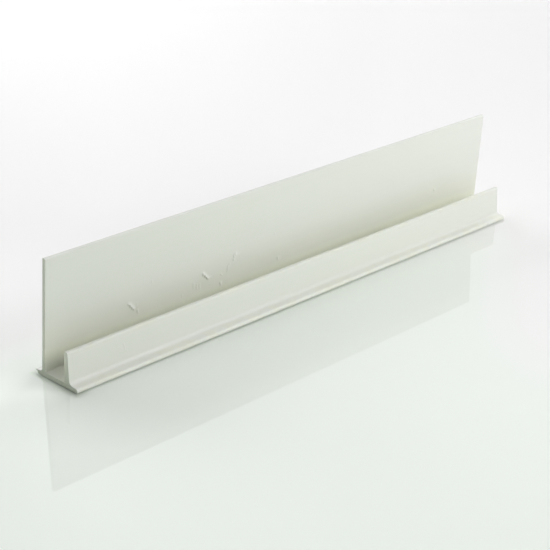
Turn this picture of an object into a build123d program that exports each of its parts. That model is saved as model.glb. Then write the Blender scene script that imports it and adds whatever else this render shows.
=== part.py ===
from build123d import *
from math import cos, radians, sin, tan
import os

# Cladding starter trim: one straight piece of rigid PVC extrusion that stands on its base.
# X runs along the trim, +Y points to the wall behind it and -Y to the front, Z is up.
# The origin lies on the floor under the middle of the piece.

# Length and cut ends
length = 215.5          # along the base, from cut to cut
cut_slant = 1.0         # degrees that the cut at +X leans back from square, towards its top

# Fixing flange, the tall rear wall
flange_height = 40.0    # floor to the flange's front top edge
flange_wall = 1.5
flange_lean = 3.6       # degrees forward, over the channel

# Base plate and the channel that a board stands in
base_wall = 1.6
channel_width = 9.6     # between the two walls, at the channel's floor

# Front flange, the low wall that covers the board's edge; its outer face is raked
front_height = 12.2     # floor to its top
front_root = 2.25       # thickness at the channel's floor
front_crown = 1.75      # thickness at its top

# Lips of the base, outside the two walls
front_lip = 3.7         # reach past the front flange's outer face, at the channel's floor
front_lip_edge = 1.4    # height of its outer edge
rear_lip = 2.3          # reach past the fixing flange's back face, at the channel's floor
rear_lip_edge = 0.8     # height of its outer edge, up to the feather

# Feather, the thin pointed strip along the top of the rear lip
feather_reach = 1.15
feather_edge = 0.2      # thickness at its tip
feather_top = 1.12      # height of the tip's upper side

# Roundings
front_fillet = 1.5      # outside foot of the front flange
rear_fillet = 1.2       # outside foot of the fixing flange
channel_fillet = 0.4    # both corners of the channel's floor
feather_fillet = 0.4    # under the feather
lip_crown = 0.9         # upper outer corner of the front lip
lip_foot = 0.4          # lower outer corner of each lip
flange_round = 0.35     # top corners of the fixing flange
crown_round = 0.5       # top corners of the front flange

# Places in the section, as distances from the front flange's inner face
flange_foot = channel_width
front_outside = -front_root
front_edge = front_outside - front_lip
flange_back = flange_foot + flange_wall / cos(radians(flange_lean))
rear_edge = flange_back + rear_lip
feather_tip = rear_edge + feather_reach
section_middle = (front_edge + feather_tip) / 2


def flange_corner(depth):
    """A top corner of the leaning flange, at this depth behind its front face."""
    rise = flange_height - base_wall
    front_top = flange_foot - rise * tan(radians(flange_lean))
    y = front_top + depth * cos(radians(flange_lean))
    z = flange_height + depth * sin(radians(flange_lean))
    return y, z


def section():
    """The trim's cross-section in the YZ plane, with every corner's own rounding."""
    corners = [
        ((front_edge, 0), lip_foot),
        ((rear_edge, 0), lip_foot),
        ((rear_edge, rear_lip_edge), feather_fillet),
        ((feather_tip, feather_top - feather_edge), 0.4 * feather_edge),
        ((feather_tip, feather_top), 0.4 * feather_edge),
        ((flange_back, base_wall), rear_fillet),
        (flange_corner(flange_wall), flange_round),
        (flange_corner(0), flange_round),
        ((flange_foot, base_wall), channel_fillet),
        ((0, base_wall), channel_fillet),
        ((0, front_height), crown_round),
        ((-front_crown, front_height), crown_round),
        ((front_outside, base_wall), front_fillet),
        ((front_edge, front_lip_edge), lip_crown),
    ]
    points = [(y - section_middle, z) for (y, z), _ in corners]
    radii = [radius for _, radius in corners]
    with BuildSketch(Plane.YZ) as sketch:
        with BuildLine():
            FilletPolyline(*points, radius=radii, close=True)
        make_face()
    return sketch.sketch


def cut_plane():
    """The plane of the cut at +X, which meets the floor at the full length."""
    slant = radians(cut_slant)
    normal = (cos(slant), 0, sin(slant))
    return Plane(origin=(length / 2, 0, 0), x_dir=(0, 1, 0), z_dir=normal)


def starter_trim():
    """The extruded section, cut square at -X and slightly out of square at +X."""
    stock = extrude(section(), length / 2, both=True)
    return split(stock, bisect_by=cut_plane(), keep=Keep.BOTTOM)


os.makedirs("parts", exist_ok=True)
export_step(starter_trim(), "parts/starter_trim.step")
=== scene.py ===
"""Looks for a cladding starter trim: satin off-white PVC with handling marks, on a glossy pale table."""
import math

import bpy
import numpy as np
from mathutils import Matrix, Vector, geometry


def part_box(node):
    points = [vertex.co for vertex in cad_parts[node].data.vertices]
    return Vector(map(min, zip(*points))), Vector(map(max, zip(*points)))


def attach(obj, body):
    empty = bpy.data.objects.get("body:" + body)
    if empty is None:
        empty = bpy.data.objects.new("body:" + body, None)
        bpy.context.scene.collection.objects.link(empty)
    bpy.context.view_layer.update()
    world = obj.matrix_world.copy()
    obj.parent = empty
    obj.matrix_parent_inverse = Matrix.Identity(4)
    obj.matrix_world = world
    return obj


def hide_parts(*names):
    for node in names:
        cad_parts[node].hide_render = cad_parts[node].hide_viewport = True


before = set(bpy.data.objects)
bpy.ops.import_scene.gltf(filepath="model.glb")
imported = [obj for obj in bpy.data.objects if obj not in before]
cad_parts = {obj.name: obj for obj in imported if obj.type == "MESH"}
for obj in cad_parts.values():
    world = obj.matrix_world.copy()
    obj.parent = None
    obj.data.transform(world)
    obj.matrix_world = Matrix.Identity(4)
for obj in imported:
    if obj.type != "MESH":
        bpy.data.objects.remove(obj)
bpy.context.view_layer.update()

TRIM = "starter_trim"
LOW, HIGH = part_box(TRIM)

# The trim's section, in metres. Distances along Y are from the front flange's inner face.
FLANGE_HEIGHT = 0.0400
FLANGE_WALL = 0.0015
FLANGE_LEAN = math.radians(3.6)
BASE_WALL = 0.0016
CHANNEL_WIDTH = 0.0096
FRONT_HEIGHT = 0.0122
FRONT_ROOT = 0.00225
FRONT_CROWN = 0.00175
FRONT_LIP = 0.0037
FRONT_LIP_EDGE = 0.0014
REAR_LIP = 0.0023
REAR_LIP_EDGE = 0.0008
FEATHER_REACH = 0.00115
FEATHER_EDGE = 0.0002
FEATHER_TOP = 0.00112
CUT_SLANT = math.radians(1.0)

# Roundings of the section's corners
FRONT_FILLET = 0.0015
REAR_FILLET = 0.0012
CHANNEL_FILLET = 0.0004
FEATHER_FILLET = 0.0004
LIP_CROWN = 0.0009
LIP_FOOT = 0.0004
REAR_LIP_ROUND = 0.0004
FLANGE_ROUND = 0.00035
CROWN_ROUND = 0.0005
FEATHER_ROUND = 0.4 * FEATHER_EDGE

# Mesh spacing
ARC_STEP = math.radians(10)
ROW_COARSE = 0.0011
ROW_FINE = 0.0002
STATION_COARSE = 0.0018
STATION_FINE = 0.0002
EDGE_BREAK = 0.00008        # bevel that the saw leaves round each cut end
CUT_EASE = 8                # how quickly the far cut's slant dies out along the trim, as a power
SHARP_ANGLE = math.radians(32)
TINY = 1e-9                 # a length too short to matter

# Places in the section
FLANGE_BACK = CHANNEL_WIDTH + FLANGE_WALL / math.cos(FLANGE_LEAN)
REAR_EDGE = FLANGE_BACK + REAR_LIP
FEATHER_TIP = REAR_EDGE + FEATHER_REACH
FRONT_EDGE = -FRONT_ROOT - FRONT_LIP
SECTION_MIDDLE = (FRONT_EDGE + FEATHER_TIP) / 2

# Table top. Its tone changes from near to far, sooner at the right, and falls off to the right in a
# painted shade.
# Each change runs along its own level direction, over a span in metres.
TABLE_AWAY = (0.2, 0.98, 0.0)
TABLE_FADE = (-0.012, 0.025)
TABLE_NEAR = (0.912, 0.968, 0.886, 1.0)
TABLE_FAR = (0.950, 0.945, 0.926, 1.0)
TABLE_SIDE = (0.6036, -0.8063, 0.0)
TABLE_FALL = (0.02, 0.09)
TABLE_RIGHT_AWAY = (0.8063, 0.6036, 0.0)
TABLE_RIGHT_FADE = (-0.085, -0.015)
TABLE_RIGHT_EDGE = (0.055, 0.085)
TABLE_SHADE = (0.94, 0.94, 0.94, 1.0)
TABLE_HALF = 3.0            # half the side of the square table top

# Clear skin over the table's white layer
SKIN_THICKNESS = 0.0004
SKIN_IOR = 1.5
SKIN_ROUGHNESS = 0.03

# Painted shade, wide, on the table close in front of the trim, strongest at the near end
SHADE_REACH = 0.036
SHADE_TONE = (0.73, 0.73, 0.73, 1.0)
SHADE_FAR_SHARE = 0.45

# Painted contact shadow: a narrow dark rim on the table where the trim's near end touches it
CONTACT_REACH = 0.0024
CONTACT_END = 0.006
CONTACT_SHADOW_TONE = (0.68, 0.71, 0.65, 1.0)

# Painted light: a faint glow of the table beside the near end, seen only by the camera
GLOW_PLACE = (-0.105, 0.050, 0.0)
GLOW_SPAN = (0.10, 0.02)
GLOW_STRENGTH = 0.10

# Soft lamps, each with its place, (width, height), power and the point that it faces
LAMP_COLOUR = (1.0, 1.0, 1.02)
LAMP_TARGET = (0.0, 0.0, 0.015)
LAMPS = [
    ("overhead", (0.0, 0.0, 1.2), (1.2, 1.2), 3.65, LAMP_TARGET),
    ("front", (0.0, -1.2, 0.5), (1.0, 1.0), 4.94, LAMP_TARGET),
    ("front_right", (0.25, -0.4, 0.3), (0.3, 0.3), 1.45, LAMP_TARGET),
    ("left_high", (-0.9, 0.2, 0.9), (0.8, 0.8), 1.49, LAMP_TARGET),
    ("right", (1.5, 0.15, 0.5), (0.9, 0.8), 15.4, (0.0, 0.0, 0.5)),
    ("back", (0.0, 1.2, 0.5), (1.0, 1.0), 9.27, LAMP_TARGET),
]

# The white wall that the table mirrors, a lamp too: a little darker high up and to the right
WALL = ("white_wall", (2.24, 1.96, 1.15), (4.6, 2.2), 61.3, (0.14, -0.14, 1.15))
WALL_RISE = (0.7, 1.3)
WALL_HIGH_SHARE = 0.93
WALL_SIDE = (math.sqrt(0.5), -math.sqrt(0.5), 0.0)
WALL_ACROSS = (-0.35, 0.25)
WALL_RIGHT_SHARE = 0.76

# PVC, in plain colours. The channel's painted light and the cuts' painted shade and painted light multiply
# the rest; the channel's one changes with the height.
PVC_TONE = (0.720, 0.739, 0.677, 1.0)
PVC_TONE_LIGHT = (0.740, 0.758, 0.695, 1.0)
PVC_TONE_CREAM = (0.730, 0.746, 0.670, 1.0)
# Cream wear that is partly a painted highlight
PVC_TONE_WEAR_AND_HIGHLIGHT = (0.735, 0.742, 0.637, 1.0)
# The marks' painted shade on their steep side and painted highlight on their gentle side
PVC_TONE_MARK_SHADE = (0.50, 0.51, 0.445, 1.0)
PVC_TONE_MARK_HIGHLIGHT = (0.86, 0.87, 0.82, 1.0)
# Painted light, a little yellow, in the channel, and the heights and shares at which it lies
CHANNEL_PAINTED_LIGHT = (1.13, 1.125, 1.05, 1.0)
CHANNEL_LIGHT_LEVELS = (0.0016, 0.0040, 0.0065, 0.0085, 0.0105, 0.0200)
CHANNEL_LIGHT_SHARES = (0.30, 0.40, 1.0, 0.75, 0.40, 0.0)
# Painted shade over the sawn ends, and painted light on their higher parts
CUT_PAINTED_SHADE = (0.92, 0.96, 0.89, 1.0)
CUT_PAINTED_LIGHT = (1.26, 1.22, 1.26, 1.0)
CUT_PAINTED_LIGHT_RISE = (0.001, 0.009)     # heights between which the cuts' painted light comes in

# Where the wear colour with its painted highlight and the channel's painted light lie on the section
WEAR_HIGHLIGHT_CROWN_START = 0.0110   # height at which the front flange's wear and painted highlight begin
WEAR_HIGHLIGHT_CROWN_FADE = 0.0009
WEAR_HIGHLIGHT_CROWN_TOP = 0.0125
WEAR_HIGHLIGHT_LIP_WIDTH = 0.0034     # from the front lip's edge
WEAR_HIGHLIGHT_LIP_FADE = 0.0012
CHANNEL_LIGHT_WALL_MARGIN = 0.0003
CHANNEL_LIGHT_FLOOR_MARGIN = 0.0002

# Texture of the PVC: repeats per metre along X, Y and Z, and the span and the share of each tone
LINE_SCALE = (6.0, 900.0, 900.0)
CLOUD_SCALE = (25.0, 60.0, 60.0)
PATCH_SCALE = (190.0, 260.0, 260.0)
SAW_SCALE = (300.0, 2600.0, 260.0)
CREAM_SPAN = (0.35, 0.7)
CREAM_SHARE = 0.5
WEAR_HIGHLIGHT_SPAN = (0.42, 0.60)
WEAR_HIGHLIGHT_SHARE = 0.8
MARK_SHADING_SHARE = 0.8

# Sheen and fine relief of the PVC
PVC_IOR = 1.53
SHEEN_SPAN = (0.3, 0.7)
PVC_ROUGHNESS = (0.35, 0.42)
CUT_ROUGHNESS_ADDED = 0.25
LINE_BUMP = 0.05
LINE_BUMP_HEIGHT = 0.0001
SAW_BUMP = 0.5
SAW_BUMP_HEIGHT = 0.0002

# Camera, as the photograph was taken
CAMERA_PLACE = Vector((-0.36370, -0.33576, 0.21611))
CAMERA_YAW = math.radians(-46.339)
CAMERA_TILT = math.radians(23.185)
CAMERA_ROLL = math.radians(1.305)
CAMERA_FOCAL_PIXELS = 1531.3
PICTURE_PIXELS = 550
SENSOR = 36.0
CAMERA_CLIP = 0.01          # nearest distance that it sees


def flange_corner(depth):
    """A top corner of the leaning flange, at this depth behind its front face."""
    rise = FLANGE_HEIGHT - BASE_WALL
    front_top = CHANNEL_WIDTH - rise * math.tan(FLANGE_LEAN)
    y = front_top + depth * math.cos(FLANGE_LEAN)
    z = FLANGE_HEIGHT + depth * math.sin(FLANGE_LEAN)
    return y, z


def section_corners():
    """Each corner of the section with its rounding, anticlockwise seen from +X."""
    return [
        ((FRONT_EDGE, 0.0), LIP_FOOT),
        ((REAR_EDGE, 0.0), REAR_LIP_ROUND),
        ((REAR_EDGE, REAR_LIP_EDGE), FEATHER_FILLET),
        ((FEATHER_TIP, FEATHER_TOP - FEATHER_EDGE), FEATHER_ROUND),
        ((FEATHER_TIP, FEATHER_TOP), FEATHER_ROUND),
        ((FLANGE_BACK, BASE_WALL), REAR_FILLET),
        (flange_corner(FLANGE_WALL), FLANGE_ROUND),
        (flange_corner(0.0), FLANGE_ROUND),
        ((CHANNEL_WIDTH, BASE_WALL), CHANNEL_FILLET),
        ((0.0, BASE_WALL), CHANNEL_FILLET),
        ((0.0, FRONT_HEIGHT), CROWN_ROUND),
        ((-FRONT_CROWN, FRONT_HEIGHT), CROWN_ROUND),
        ((-FRONT_ROOT, BASE_WALL), FRONT_FILLET),
        ((FRONT_EDGE, FRONT_LIP_EDGE), LIP_CROWN),
    ]


def rounded_outline(corners):
    """The arcs and straights of the section, as a list of point runs in order."""
    points = [np.array(point) for point, _ in corners]
    runs = []
    for i, (_, radius) in enumerate(corners):
        before, here, after = points[i - 1], points[i], points[(i + 1) % len(points)]
        inward = (here - before) / np.linalg.norm(here - before)
        outward = (after - here) / np.linalg.norm(after - here)
        turn = math.atan2(inward[0] * outward[1] - inward[1] * outward[0], inward @ outward)
        reach = radius * math.tan(abs(turn) / 2)
        start = here - inward * reach
        side = math.copysign(1.0, turn) * np.array((-inward[1], inward[0]))
        centre = start + side * radius
        spoke = start - centre
        steps = max(3, math.ceil(abs(turn) / ARC_STEP))
        arc = []
        for k in range(steps + 1):
            angle = turn * k / steps
            cos, sin = math.cos(angle), math.sin(angle)
            turned = (cos * spoke[0] - sin * spoke[1], sin * spoke[0] + cos * spoke[1])
            arc.append(centre + np.array(turned))
        runs.append(arc)
    return runs


def spaced(start, end, fine_spans, coarse, fine):
    """Values from start to end, closer together inside the fine spans."""
    values = [start]
    direction = 1.0 if end > start else -1.0
    while (end - values[-1]) * direction > TINY:
        here = values[-1]
        probe = here + direction * fine
        inside = any(low <= probe <= high for low, high in fine_spans)
        step = fine
        if not inside:
            ahead = [low if direction > 0 else high for low, high in fine_spans]
            gaps = [(edge - here) * direction for edge in ahead if (edge - here) * direction > fine]
            step = min([coarse] + gaps)
        values.append(here + direction * step)
    values[-1] = end
    return values


# Marks on the front of the fixing flange and of the front flange: small ridges scraped up by handling.
# Each is (x from the near end, z of its top, x and z of its foot, half width, height of its ridge).
FLANGE_MARKS = [
    (0.0334, 0.0145, 0.0355, 0.0122, 0.00060, 0.00030),
    (0.0371, 0.0112, 0.0373, 0.0104, 0.00042, 0.00020),
    (0.0366, 0.0137, 0.0368, 0.0129, 0.00036, 0.00008),
    (0.0659, 0.0155, 0.0682, 0.0132, 0.00050, 0.00025),
    (0.0656, 0.0158, 0.0657, 0.0150, 0.00040, 0.00017),
    (0.0801, 0.0186, 0.0799, 0.0168, 0.00048, 0.00019),
    (0.0807, 0.0189, 0.0809, 0.0183, 0.00050, 0.00017),
    (0.0774, 0.0151, 0.0772, 0.0134, 0.00040, 0.00015),
    (0.0780, 0.0158, 0.0780, 0.0154, 0.00034, 0.00015),
    (0.0742, 0.0099, 0.0743, 0.0090, 0.00044, 0.00020),
    (0.0742, 0.0130, 0.0748, 0.0125, 0.00030, 0.00008),
    (0.1019, 0.0113, 0.1019, 0.0105, 0.00050, 0.00023),
    (0.1882, 0.0153, 0.1884, 0.0147, 0.00042, 0.00014),
    (0.0430, 0.0201, 0.0431, 0.0192, 0.00030, 0.00008),
    (0.0995, 0.0213, 0.0996, 0.0208, 0.00034, 0.00008),
    (0.0616, 0.0134, 0.0617, 0.0117, 0.00030, 0.00008),
    (0.0631, 0.0125, 0.0632, 0.0109, 0.00030, 0.00009),
    (0.0644, 0.0123, 0.0645, 0.0107, 0.00030, 0.00008),
    (0.0565, 0.0107, 0.0566, 0.0102, 0.00030, 0.00005),
]
FRONT_MARKS = [
    (0.0218, 0.0082, 0.0220, 0.0077, 0.00034, 0.00010),
    (0.0222, 0.0073, 0.0223, 0.0060, 0.00030, 0.00011),
    (0.0230, 0.0076, 0.0230, 0.0054, 0.00032, 0.00006),
    (0.0070, 0.0032, 0.0071, 0.0026, 0.00032, 0.00013),
]
MARK_MARGIN = 0.0009
STEEP_SIDE = 0.75           # a ridge's reach on the side it was scraped from, in half widths
GENTLE_SIDE = 1.5           # and on its other side
RIDGE_FALL = 1.6            # how steeply it falls off sideways
WAVER = 0.25                # how far it strays sideways, in half widths
WAVER_RATE = 5200.0         # radians per metre along it
WAVER_START = 900.0         # radians per metre of the ridge's place along the trim
CRUMB = 0.2                 # how much its height changes along it, as a share
CRUMB_RATE = 4100.0
CRUMB_START = 700.0
MARK_SHADING_HEIGHT = 0.0002        # a ridge of this height takes the full painted shade
MARK_SHADING_TURN = 2.0             # how sharply painted shade turns to painted highlight across its crest

# Stretches of the section that carry marks, by the number of the corner each starts from, and their marks
MARKED_STRETCHES = {7: "flange_front", 11: "front_outer"}
STRETCH_MARKS = {"flange_front": FLANGE_MARKS, "front_outer": FRONT_MARKS}


def mark_spans(marks, first, second):
    """The spans that the marks take up along one direction, with a margin."""
    spans = []
    for mark in marks:
        low, high = sorted((mark[first], mark[second]))
        spans.append((low - MARK_MARGIN, high + MARK_MARGIN))
    return spans


def section_rows():
    """The section as rows of the mesh: (y, z) points, outward normals and a name for each stretch."""
    runs = rounded_outline(section_corners())
    points, stretches = [], []
    for i, arc in enumerate(runs):
        name = MARKED_STRETCHES.get(i, "plain")
        points += arc
        stretches += ["arc"] * (len(arc) - 1) + [name]
        start, end = arc[-1], runs[(i + 1) % len(runs)][0]
        if name in STRETCH_MARKS:
            fine = mark_spans(STRETCH_MARKS[name], 1, 3)
            levels = spaced(start[1], end[1], fine, ROW_COARSE, ROW_FINE)[1:-1]
            shares = [(level - start[1]) / (end[1] - start[1]) for level in levels]
        else:
            count = max(1, round(np.linalg.norm(end - start) / ROW_COARSE))
            shares = [k / count for k in range(1, count)]
        points += [start + (end - start) * share for share in shares]
        stretches += [name] * len(shares)
    points = np.array(points)
    along = np.roll(points, -1, 0) - np.roll(points, 1, 0)
    along /= np.linalg.norm(along, axis=1)[:, None]
    normals = np.stack([along[:, 1], -along[:, 0]], 1)
    return points, normals, stretches


def ridge(x, z, mark):
    """Height of one mark's raised ridge at the points x, z of a face, and its painted shading.

    The shading is positive on the steep side, a painted shade, and negative on the gentle side, a painted
    highlight.
    """
    x0, z0, x1, z1, half, height = mark
    dx, dz = x1 - x0, z1 - z0
    length = math.hypot(dx, dz)
    along = ((x - x0) * dx + (z - z0) * dz) / length
    across = ((x - x0) * dz - (z - z0) * dx) / length
    across = across + WAVER * half * np.sin(along * WAVER_RATE + x0 * WAVER_START)
    past = np.maximum(0.0, np.maximum(-along, along - length))
    steep = STEEP_SIDE * half
    reach = np.where(across > 0.0, steep, GENTLE_SIDE * half)
    body = np.exp(-RIDGE_FALL * np.hypot(across / reach, past / half) ** 2)
    crumb = 1.0 + CRUMB * np.sin(along * CRUMB_RATE + x0 * CRUMB_START)
    mark_shading = height / MARK_SHADING_HEIGHT * body * np.tanh(MARK_SHADING_TURN * across / steep)
    return height * crumb * body, mark_shading


def wear_and_highlight_edge(y, z):
    """How near each point of the section is to the front flange's crown or the front lip's edge, where the
    cream wear and its painted highlight lie.
    """
    on_front_top = (y < 0.0) * (z < WEAR_HIGHLIGHT_CROWN_TOP)
    on_crown = np.clip((z - WEAR_HIGHLIGHT_CROWN_START) / WEAR_HIGHLIGHT_CROWN_FADE, 0.0, 1.0) * on_front_top
    on_lip = np.clip((FRONT_EDGE + WEAR_HIGHLIGHT_LIP_WIDTH - y) / WEAR_HIGHLIGHT_LIP_FADE, 0.0, 1.0)
    return np.maximum(on_crown, on_lip)


def channel_light_share(y, z):
    """How much painted light, a little yellow, each point of the section takes inside the channel, by its
    height.
    """
    face = CHANNEL_WIDTH - (z - BASE_WALL) * math.tan(FLANGE_LEAN)
    between = (y > -CHANNEL_LIGHT_WALL_MARGIN) & (y < face + CHANNEL_LIGHT_WALL_MARGIN)
    above_floor = z > BASE_WALL - CHANNEL_LIGHT_FLOOR_MARGIN
    return np.interp(z, CHANNEL_LIGHT_LEVELS, CHANNEL_LIGHT_SHARES) * (between & above_floor)


def raised_rings(points, normals, stretches):
    """Rings of the section's points along the trim, with the marks raised, and each ring's painted shade
    and highlight of the marks.
    """
    fine = mark_spans(FLANGE_MARKS, 0, 2) + mark_spans(FRONT_MARKS, 0, 2)
    length = HIGH.x - LOW.x
    stations = spaced(EDGE_BREAK, length - EDGE_BREAK, fine, STATION_COARSE, STATION_FINE)
    rows = len(points)
    y = points[:, 0] - SECTION_MIDDLE
    z = points[:, 1]
    short = z * math.tan(CUT_SLANT)
    rings, mark_shadings = [], []
    for i, station in enumerate([0.0] + stations + [length]):
        at_end = i in (0, len(stations) + 1)
        x = np.full(rows, station) - short * (station / length) ** CUT_EASE
        inset = EDGE_BREAK if at_end else 0.0
        lift, mark_shading = np.zeros(rows), np.zeros(rows)
        for name, marks in STRETCH_MARKS.items():
            on = np.array([stretch == name for stretch in stretches])
            for mark in marks:
                height, shading_part = ridge(x[on], z[on], mark)
                lift[on] += height
                mark_shading[on] += shading_part
        push = lift - inset
        ring = np.stack([LOW.x + x, y + normals[:, 0] * push, z + normals[:, 1] * push], 1)
        rings.append(ring)
        mark_shadings.append(np.clip(mark_shading, -1.0, 1.0))
    return rings, mark_shadings


def side_faces(rows, ring_count):
    """The quads between each ring and the next."""
    faces = []
    for i in range(ring_count - 1):
        for j in range(rows):
            k = (j + 1) % rows
            faces.append((i * rows + j, i * rows + k, (i + 1) * rows + k, (i + 1) * rows + j))
    return faces


def cut_faces(points, ring_count):
    """The triangles that close the two cuts, facing outwards."""
    faces = []
    outline = [Vector((0.0, point[0], point[1])) for point in points]
    last = (ring_count - 1) * len(points)
    for a, b, c in geometry.tessellate_polygon([outline]):
        pa, pb, pc = points[a], points[b], points[c]
        turn = (pb[0] - pa[0]) * (pc[1] - pa[1]) - (pb[1] - pa[1]) * (pc[0] - pa[0])
        if turn < 0:
            b, c = c, b
        faces.append((last + a, last + b, last + c))
        faces.append((a, c, b))
    return faces


def trim_mesh():
    """The trim as a fine mesh with raised marks, and masks for the marks' painted shade and highlight, the
    cream wear with its painted highlight, the channel's painted light and the cut ends.
    """
    points, normals, stretches = section_rows()
    rings, mark_shadings = raised_rings(points, normals, stretches)
    rows = len(points)
    sides = side_faces(rows, len(rings))
    faces = sides + cut_faces(points, len(rings))
    mesh = bpy.data.meshes.new("starter_trim_surface")
    mesh.from_pydata(np.concatenate(rings).tolist(), [], faces)
    mesh.validate()
    cut = np.zeros(len(faces), np.float32)
    cut[:rows] = 1.0
    cut[len(sides) - rows:] = 1.0
    wear_and_highlight = np.tile(wear_and_highlight_edge(points[:, 0], points[:, 1]), len(rings))
    channel_light_shares = np.tile(channel_light_share(points[:, 0], points[:, 1]), len(rings))
    for name, values in (("mark_shading", np.concatenate(mark_shadings)), ("wear_and_highlight", wear_and_highlight), ("channel_light_share", channel_light_shares)):
        mesh.attributes.new(name, "FLOAT", "POINT").data.foreach_set("value", values.astype(np.float32))
    mesh.attributes.new("cut", "FLOAT", "FACE").data.foreach_set("value", cut)
    mesh.shade_smooth()
    mesh.set_sharp_from_angle(angle=SHARP_ANGLE)
    return mesh


def link(tree, source, output, target, socket):
    """Joins one node's output to another node's input."""
    tree.links.new(source.outputs[output], target.inputs[socket])


def place_axes(tree, place):
    """The X, Y and Z of a texture place, in the object's own space."""
    axes = tree.nodes.new("ShaderNodeSeparateXYZ")
    link(tree, place, "Object", axes, "Vector")
    return axes


def noise(tree, scale, detail):
    """A noise texture over the piece, with its own spacing along X, Y and Z."""
    place = tree.nodes.new("ShaderNodeTexCoord")
    spread = tree.nodes.new("ShaderNodeMapping")
    spread.inputs["Scale"].default_value = scale
    link(tree, place, "Object", spread, "Vector")
    texture = tree.nodes.new("ShaderNodeTexNoise")
    texture.inputs["Scale"].default_value = 1.0
    texture.inputs["Detail"].default_value = detail
    link(tree, spread, "Vector", texture, "Vector")
    return texture


def ramp(tree, source, output, low, high, to_low=0.0, to_high=1.0):
    """One value mapped from the span low..high to another span, clamped."""
    mapped = tree.nodes.new("ShaderNodeMapRange")
    for name, value in (("From Min", low), ("From Max", high), ("To Min", to_low), ("To Max", to_high)):
        mapped.inputs[name].default_value = value
    link(tree, source, output, mapped, "Value")
    return mapped


def mask(tree, name):
    """One of the mesh's masks."""
    layer = tree.nodes.new("ShaderNodeAttribute")
    layer.attribute_name = name
    return layer


def product(tree, first, first_output, second, second_output):
    """Two values multiplied."""
    both = tree.nodes.new("ShaderNodeMath")
    both.operation = "MULTIPLY"
    link(tree, first, first_output, both, 0)
    link(tree, second, second_output, both, 1)
    return both


def tint(tree, share, output, base, colour, blend="MIX"):
    """A colour socket that mixes this colour into the base, by a share."""
    mixed = tree.nodes.new("ShaderNodeMix")
    mixed.data_type = "RGBA"
    mixed.blend_type = blend
    link(tree, share, output, mixed, 0)
    if isinstance(base, tuple):
        mixed.inputs[6].default_value = base
    else:
        tree.links.new(base, mixed.inputs[6])
    mixed.inputs[7].default_value = colour
    return mixed.outputs[2]


def pvc_material():
    """Satin off-white rigid PVC: faint lines along X, marks with painted shade and highlight, cream wear
    on edges that is partly painted highlight, painted light in the channel, sawn ends with painted shade
    and light.
    """
    material = bpy.data.materials.new("upvc")
    material.use_nodes = True
    tree = material.node_tree
    shader = tree.nodes["Principled BSDF"]
    shader.inputs["IOR"].default_value = PVC_IOR

    lines = noise(tree, LINE_SCALE, detail=3.0)
    clouds = noise(tree, CLOUD_SCALE, detail=2.0)
    patches = noise(tree, PATCH_SCALE, detail=3.0)
    saw = noise(tree, SAW_SCALE, detail=4.0)
    mark_shading, wear_and_highlight, cut = mask(tree, "mark_shading"), mask(tree, "wear_and_highlight"), mask(tree, "cut")

    colour = tint(tree, lines, "Fac", PVC_TONE, PVC_TONE_LIGHT)
    cream = ramp(tree, clouds, "Fac", *CREAM_SPAN, 0.0, CREAM_SHARE)
    colour = tint(tree, cream, "Result", colour, PVC_TONE_CREAM)
    # Painted light, a little yellow, in the channel, by height
    colour = tint(tree, mask(tree, "channel_light_share"), "Fac", colour, CHANNEL_PAINTED_LIGHT, "MULTIPLY")
    # Cream wear on the crown and the lip's edge, partly a painted highlight, in patches
    spots = ramp(tree, patches, "Fac", *WEAR_HIGHLIGHT_SPAN, 0.0, WEAR_HIGHLIGHT_SHARE)
    colour = tint(tree, product(tree, spots, "Result", wear_and_highlight, "Fac"), "Value", colour, PVC_TONE_WEAR_AND_HIGHLIGHT)
    # Painted shade on each mark's steep side, painted highlight on its gentle side
    shaded = ramp(tree, mark_shading, "Fac", 0.0, 1.0, 0.0, MARK_SHADING_SHARE)
    colour = tint(tree, shaded, "Result", colour, PVC_TONE_MARK_SHADE)
    highlit = ramp(tree, mark_shading, "Fac", 0.0, -1.0, 0.0, MARK_SHADING_SHARE)
    colour = tint(tree, highlit, "Result", colour, PVC_TONE_MARK_HIGHLIGHT)
    # Sawn ends: painted shade over them all, and painted light that comes in higher up
    colour = tint(tree, cut, "Fac", colour, CUT_PAINTED_SHADE, "MULTIPLY")
    axes = place_axes(tree, tree.nodes.new("ShaderNodeTexCoord"))
    cut_light_share = product(tree, cut, "Fac", ramp(tree, axes, "Z", *CUT_PAINTED_LIGHT_RISE), "Result")
    colour = tint(tree, cut_light_share, "Value", colour, CUT_PAINTED_LIGHT, "MULTIPLY")
    tree.links.new(colour, shader.inputs["Base Color"])

    sheen = ramp(tree, clouds, "Fac", *SHEEN_SPAN, *PVC_ROUGHNESS)
    rough = tree.nodes.new("ShaderNodeMath")
    rough.operation = "MULTIPLY_ADD"
    rough.inputs[1].default_value = CUT_ROUGHNESS_ADDED
    link(tree, cut, "Fac", rough, 0)
    link(tree, sheen, "Result", rough, 2)
    link(tree, rough, "Value", shader, "Roughness")

    fine = tree.nodes.new("ShaderNodeBump")
    fine.inputs["Strength"].default_value = LINE_BUMP
    fine.inputs["Distance"].default_value = LINE_BUMP_HEIGHT
    link(tree, lines, "Fac", fine, "Height")
    sawn = tree.nodes.new("ShaderNodeBump")
    sawn.inputs["Distance"].default_value = SAW_BUMP_HEIGHT
    link(tree, ramp(tree, cut, "Fac", 0.0, 1.0, 0.0, SAW_BUMP), "Result", sawn, "Strength")
    link(tree, saw, "Fac", sawn, "Height")
    link(tree, fine, "Normal", sawn, "Normal")
    link(tree, sawn, "Normal", shader, "Normal")
    return material


def make_trim():
    """The trim's visible mesh, which stands for the CAD node."""
    piece = bpy.data.objects.new("starter_trim_surface", trim_mesh())
    bpy.context.scene.collection.objects.link(piece)
    piece.data.materials.append(pvc_material())
    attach(piece, "root")
    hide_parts(TRIM)


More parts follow.
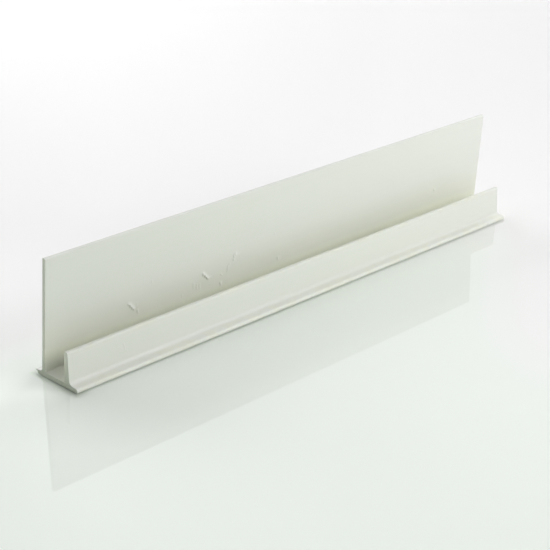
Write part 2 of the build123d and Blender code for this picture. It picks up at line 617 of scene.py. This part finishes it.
def vector_step(tree, operation, source, output, value=None):
    """One vector operation on another node's output, with a fixed second vector where it needs one."""
    step = tree.nodes.new("ShaderNodeVectorMath")
    step.operation = operation
    link(tree, source, output, step, 0)
    if value is not None:
        step.inputs[1].default_value = value
    return step


def table_shade(tree, place):
    """Shares of the wide painted shade and of the painted contact shadow, a narrow dark rim, at a place of
    the table.
    """
    apart = vector_step(tree, "ABSOLUTE", place, "Object")
    beyond = vector_step(tree, "SUBTRACT", apart, "Vector", (HIGH.x, HIGH.y, 0.0))
    outside = vector_step(tree, "MAXIMUM", beyond, "Vector", (0.0, 0.0, 0.0))
    distance = vector_step(tree, "LENGTH", outside, "Vector")
    root = tree.nodes.new("ShaderNodeMath")
    root.operation = "SQRT"
    link(tree, ramp(tree, distance, "Value", 0.0, SHADE_REACH), "Result", root, 0)
    close = ramp(tree, root, "Value", 0.0, 1.0, 1.0, 0.0)
    axes = place_axes(tree, place)
    along = ramp(tree, axes, "X", LOW.x, HIGH.x, 1.0, SHADE_FAR_SHARE)
    in_front = ramp(tree, axes, "Y", LOW.y, 0.0, 1.0, 0.0)
    both = product(tree, close, "Result", along, "Result")
    shade = product(tree, both, "Value", in_front, "Result")
    touching = ramp(tree, distance, "Value", 0.0, CONTACT_REACH, 1.0, 0.0)
    under_end = ramp(tree, axes, "X", LOW.x, LOW.x + CONTACT_END, 1.0, 0.0)
    contact = product(tree, touching, "Result", under_end, "Result")
    return shade, contact


def table_material():
    """The table's white layer, faintly green in front of the trim and plain white behind it, with painted
    shade in front of the trim and to the right, a painted contact shadow at the near end and a painted
    glow beside it.
    """
    material = bpy.data.materials.new("table")
    material.use_nodes = True
    tree = material.node_tree
    nodes = tree.nodes
    shader = nodes["Principled BSDF"]
    shader.inputs["Specular IOR Level"].default_value = 0.0
    shader.inputs["Roughness"].default_value = 1.0

    place = nodes.new("ShaderNodeTexCoord")
    depth = vector_step(tree, "DOT_PRODUCT", place, "Object", TABLE_AWAY)
    fade = ramp(tree, depth, "Value", *TABLE_FADE)
    fade.interpolation_type = "SMOOTHSTEP"
    aside = vector_step(tree, "DOT_PRODUCT", place, "Object", TABLE_SIDE)
    fall = ramp(tree, aside, "Value", *TABLE_FALL)
    right = ramp(tree, aside, "Value", *TABLE_RIGHT_EDGE)
    depth_right = vector_step(tree, "DOT_PRODUCT", place, "Object", TABLE_RIGHT_AWAY)
    fade_right = ramp(tree, depth_right, "Value", *TABLE_RIGHT_FADE)
    colour = tint(tree, fade, "Result", TABLE_NEAR, TABLE_FAR)
    colour = tint(tree, product(tree, right, "Result", fade_right, "Result"), "Value", colour, TABLE_FAR)
    # Painted shade, falling off to the right
    colour = tint(tree, fall, "Result", colour, TABLE_SHADE, "MULTIPLY")
    shade, contact = table_shade(tree, place)
    # Painted shade on the table in front of the trim
    colour = tint(tree, shade, "Value", colour, SHADE_TONE, "MULTIPLY")
    # Painted contact shadow at the near end
    colour = tint(tree, contact, "Value", colour, CONTACT_SHADOW_TONE, "MULTIPLY")
    tree.links.new(colour, shader.inputs["Base Color"])

    # Painted light: a glow beside the near end, seen only by the camera
    spot = vector_step(tree, "DISTANCE", place, "Object", GLOW_PLACE)
    glow = ramp(tree, spot, "Value", GLOW_SPAN[1], GLOW_SPAN[0], GLOW_STRENGTH, 0.0)
    glow.interpolation_type = "SMOOTHSTEP"
    rays = nodes.new("ShaderNodeLightPath")
    shader.inputs["Emission Color"].default_value = (1.0, 1.0, 1.0, 1.0)
    link(tree, product(tree, glow, "Result", rays, "Is Camera Ray"), "Value", shader, "Emission Strength")
    return material


def gloss_material():
    """The clear skin over the table's white layer, which mirrors the trim faintly."""
    material = bpy.data.materials.new("table_gloss")
    material.use_nodes = True
    tree = material.node_tree
    nodes = tree.nodes
    nodes.remove(nodes["Principled BSDF"])
    share = nodes.new("ShaderNodeFresnel")
    share.inputs["IOR"].default_value = SKIN_IOR
    clear = nodes.new("ShaderNodeBsdfTransparent")
    mirror = nodes.new("ShaderNodeBsdfGlossy")
    mirror.inputs["Roughness"].default_value = SKIN_ROUGHNESS
    mixed = nodes.new("ShaderNodeMixShader")
    link(tree, share, "Fac", mixed, 0)
    link(tree, clear, "BSDF", mixed, 1)
    link(tree, mirror, "BSDF", mixed, 2)
    tree.links.new(mixed.outputs[0], nodes["Material Output"].inputs["Surface"])
    return material


def level_sheet(name, height, material):
    """A large level sheet of the table at this height."""
    mesh = bpy.data.meshes.new(name)
    signs = [(-1, -1), (1, -1), (1, 1), (-1, 1)]
    corners = [(x * TABLE_HALF, y * TABLE_HALF, height) for x, y in signs]
    mesh.from_pydata(corners, [], [(0, 1, 2, 3)])
    sheet = bpy.data.objects.new(name, mesh)
    bpy.context.scene.collection.objects.link(sheet)
    mesh.materials.append(material)
    return sheet


def make_floor():
    """The table under the trim: a white layer with a thin clear skin on it."""
    level_sheet("table_white", -SKIN_THICKNESS, table_material())
    skin = level_sheet("table_skin", 0.0, gloss_material())
    skin.visible_shadow = False
    skin.visible_diffuse = False


def softbox(name, place, size, power, target):
    """A rectangular area light, (width, height) in size, at a place and turned to the target."""
    data = bpy.data.lights.new(name, "AREA")
    data.shape = "RECTANGLE"
    data.size, data.size_y = size
    data.energy = power
    data.color = LAMP_COLOUR
    lamp = bpy.data.objects.new(name, data)
    lamp.location = place
    aim = Vector(target) - Vector(place)
    lamp.rotation_euler = aim.to_track_quat("-Z", "Y").to_euler()
    bpy.context.scene.collection.objects.link(lamp)
    return lamp


def grade_wall(lamp):
    """Makes the wall a little darker high up and to the right."""
    lamp.data.use_nodes = True
    tree = lamp.data.node_tree
    where = tree.nodes.new("ShaderNodeNewGeometry")
    axes = tree.nodes.new("ShaderNodeSeparateXYZ")
    link(tree, where, "Position", axes, "Vector")
    across = vector_step(tree, "DOT_PRODUCT", where, "Position", WALL_SIDE)
    high = ramp(tree, axes, "Z", *WALL_RISE, 1.0, WALL_HIGH_SHARE)
    right = ramp(tree, across, "Value", *WALL_ACROSS, 1.0, WALL_RIGHT_SHARE)
    link(tree, product(tree, high, "Result", right, "Result"), "Value", tree.nodes["Emission"], "Strength")


def make_lights():
    """Soft light from all round, a white wall that only glossy surfaces mirror, and a white backdrop."""
    for lamp in LAMPS:
        softbox(*lamp)
    wall = softbox(*WALL)
    wall.visible_diffuse = False
    grade_wall(wall)
    world = bpy.data.worlds.new("backdrop")
    bpy.context.scene.world = world
    world.use_nodes = True
    tree = world.node_tree
    background = tree.nodes["Background"]
    background.inputs["Color"].default_value = (1.0, 1.0, 1.0, 1.0)
    rays = tree.nodes.new("ShaderNodeLightPath")
    link(tree, rays, "Is Camera Ray", background, "Strength")


def make_camera():
    """The photograph's camera."""
    data = bpy.data.cameras.new("camera")
    data.sensor_width = SENSOR
    data.lens = CAMERA_FOCAL_PIXELS * SENSOR / PICTURE_PIXELS
    data.clip_start = CAMERA_CLIP
    camera = bpy.data.objects.new("camera", data)
    turn = Matrix.Rotation(CAMERA_YAW, 4, "Z")
    tilt = Matrix.Rotation(math.radians(90) - CAMERA_TILT, 4, "X")
    roll = Matrix.Rotation(CAMERA_ROLL, 4, "Z")
    camera.matrix_world = Matrix.Translation(CAMERA_PLACE) @ turn @ tilt @ roll
    bpy.context.scene.collection.objects.link(camera)
    bpy.context.scene.camera = camera


bpy.context.scene.view_settings.view_transform = "Standard"
make_trim()
make_floor()
make_lights()
make_camera()
